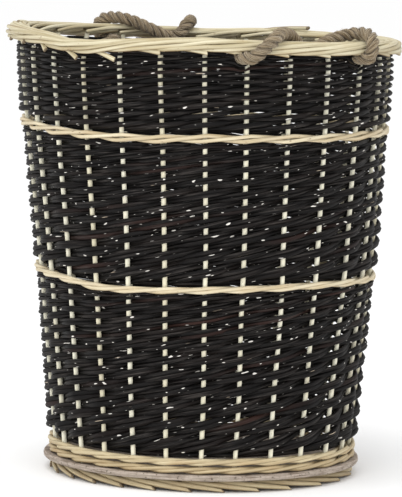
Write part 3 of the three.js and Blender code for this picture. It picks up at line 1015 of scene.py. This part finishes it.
def foot_border(material):
    """The stakes' lower ends: each comes out of its hole in the board, bends to the right, runs outwards
    and down over the next ones, and ends in a long slanting cut near the floor."""
    bundle = Bundle()
    share = np.linspace(0, 1, FOOT_RINGS)
    radius = FOOT_INSIDE + (FOOT_OUTSIDE - FOOT_INSIDE) * share**FOOT_OUTWARDS
    height = FOOT_HIGH + (FOOT_LOW - FOOT_HIGH) * share**FOOT_DOWNWARDS
    for stake in range(STAKE_COUNT):
        degrees = angle_at(stake + FOOT_START + FOOT_RUN * share + RANDOM.normal(0, START_SPREAD))
        own = FOOT_ROD / 2 * RANDOM.normal(1, FOOT_SPREAD)
        line = around(degrees, radius, height)
        bundle.add(line, own * read_off(FOOT_TAPER, share), sides=14, slant=(-0.6, 1.2))
    bundle.build("foot_border_rods", material, ["foot_border"])


BOARD_SIDES = 720
BOARD_CORNER = 0.9 * MM  # how much its upper and lower corners are worn off
SAW_MARKS = 0.14 * MM
BOARD_WAVES = {3: 0.4 * MM, 7: 0.25 * MM}  # how far its edge is off a circle, in so many waves round it
BOARD_CENTRE = 0.5 * MM  # the radius of the small flat faces that close its middle


def board(material):
    """The base board, round and roughly sawn. The base wale and the foot border hide the holes that its
    stakes pass through."""
    middle = (BOARD_BOTTOM + BOARD_TOP) / 2
    # Across a section, from the middle of the top to the middle of the underside: the distance in from
    # the edge, the height, and how rough it is sawn there
    section = [
        (BOARD_RADIUS, BOARD_TOP, 0.0),
        (40 * MM, BOARD_TOP, 0.0),
        (3 * MM, BOARD_TOP, 0.0),
        (BOARD_CORNER, BOARD_TOP, 0.3),
        (0.2 * MM, BOARD_TOP - BOARD_CORNER, 1.0),
        (0.0, middle + 1 * MM, 1.0),
        (0.0, middle - 1 * MM, 1.0),
        (0.2 * MM, BOARD_BOTTOM + BOARD_CORNER, 1.0),
        (BOARD_CORNER, BOARD_BOTTOM, 0.3),
        (3 * MM, BOARD_BOTTOM, 0.0),
        (40 * MM, BOARD_BOTTOM, 0.0),
        (BOARD_RADIUS, BOARD_BOTTOM, 0.0),
    ]
    degrees = np.arange(BOARD_SIDES) * 360 / BOARD_SIDES
    wave = sum(size * np.sin(np.radians(count * degrees)) for count, size in BOARD_WAVES.items())
    rings = []
    for inset, height, rough in section:
        sawn = rough * RANDOM.normal(0, SAW_MARKS, BOARD_SIDES)
        uneven = (sawn + wave) * (rough > 0)
        radius = np.maximum(BOARD_RADIUS - inset + uneven, BOARD_CENTRE)
        rings.append(around(degrees, radius, height))
    bundle = Bundle()
    bundle.add_faces(len(section), BOARD_SIDES)
    points = np.array(rings)
    bundle.points.append(settle(points.reshape(-1, 3)))
    bundle.grain.append(points.reshape(-1, 3))
    bundle.rod.append(np.zeros(len(section) * BOARD_SIDES))
    bundle.cut.append(np.zeros(len(section) * BOARD_SIDES))
    bundle.build("base_board_sawn", material, ["base_board"])


def stage():
    """The floor that the basket stands on, wide enough to have no edge in view."""
    bpy.ops.mesh.primitive_circle_add(vertices=96, radius=30, fill_type="NGON")
    floor = bpy.context.object
    floor.name = "floor"
    floor.data.materials.append(stage_white())


# ------------------------------------------------------------
# Light
# ------------------------------------------------------------


def area_light(name, location, aim, size, power):
    """A round soft light that faces the point it is aimed at."""
    data = bpy.data.lights.new(name, "AREA")
    data.shape = "DISK"
    data.size = size
    data.energy = power
    made = bpy.data.objects.new(name, data)
    made.location = location
    made.rotation_mode = "QUATERNION"
    made.rotation_quaternion = (Vector(aim) - Vector(location)).to_track_quat("-Z", "Y")
    bpy.context.scene.collection.objects.link(made)


WORLD_STRENGTH = 1.02


def lights():
    """A white studio: even light from all round, a soft light above and another in front."""
    world = bpy.data.worlds.new("studio")
    world.use_nodes = True
    world.node_tree.nodes["Background"].inputs["Color"].default_value = (1, 1, 1, 1)
    world.node_tree.nodes["Background"].inputs["Strength"].default_value = WORLD_STRENGTH
    bpy.context.scene.world = world
    area_light("top", location=(-0.6, -1.2, 3.2), aim=(0, 0, 0.3), size=2.6, power=40)
    area_light("front", location=(-0.8, -4.2, 1.6), aim=(0, 0, 0.25), size=2.4, power=50)
    bpy.context.scene.view_settings.view_transform = "Standard"


# ------------------------------------------------------------
# The scene
# ------------------------------------------------------------

camera()
jute_material = jute()
rope_handle("front", FRONT_HANDLE, jute_material)
rope_handle("rear", REAR_HANDLE, jute_material)

# Five copies of the peeled willow, each with its own colours and its own strength of the painted shade on
# the lower side of each rod.
cream = peeled_willow(
    "peeled_willow",
    light=(0.75, 0.68, 0.51, 1),
    dark=(0.5, 0.41, 0.25, 1),
    stain=(0.5, 0.37, 0.2, 1),
    painted_shade=0.75,
)
rim = peeled_willow(
    "peeled_willow_rim",
    light=(0.69, 0.645, 0.48, 1),
    dark=(0.42, 0.36, 0.215, 1),
    stain=(0.46, 0.36, 0.19, 1),
    painted_shade=0.95,
)
base = peeled_willow(
    "peeled_willow_base",
    light=(0.69, 0.61, 0.41, 1),
    dark=(0.42, 0.33, 0.19, 1),
    stain=(0.45, 0.31, 0.15, 1),
    painted_shade=0.9,
)
pale = peeled_willow(
    "peeled_willow_stakes",
    light=(0.92, 0.9, 0.76, 1),
    dark=(0.8, 0.76, 0.58, 1),
    stain=(0.74, 0.66, 0.48, 1),
    painted_shade=0.0,
)
# A darker, browner copy for the foot border, at the bottom of the basket.
foot_darker = peeled_willow(
    "peeled_willow_foot",
    light=(0.6, 0.52, 0.34, 1),
    dark=(0.42, 0.33, 0.19, 1),
    stain=(0.36, 0.25, 0.13, 1),
    painted_shade=0.6,
)
bark = dark_willow()
stakes(pale)
weave("lower_weave_rods", "lower_weave", LOWER_RODS, bark)
weave("middle_weave_rods", "middle_weave", MIDDLE_RODS, bark)
weave("upper_weave_rods", "upper_weave", UPPER_RODS, bark)
waling("base_wale_rods", "base_wale", 2, base)
waling("lower_band_rods", "lower_band", 1, cream)
waling("upper_band_rods", "upper_band", 1, cream)
border(rim)
foot_border(foot_darker)
board(plywood())
stage()
lights()
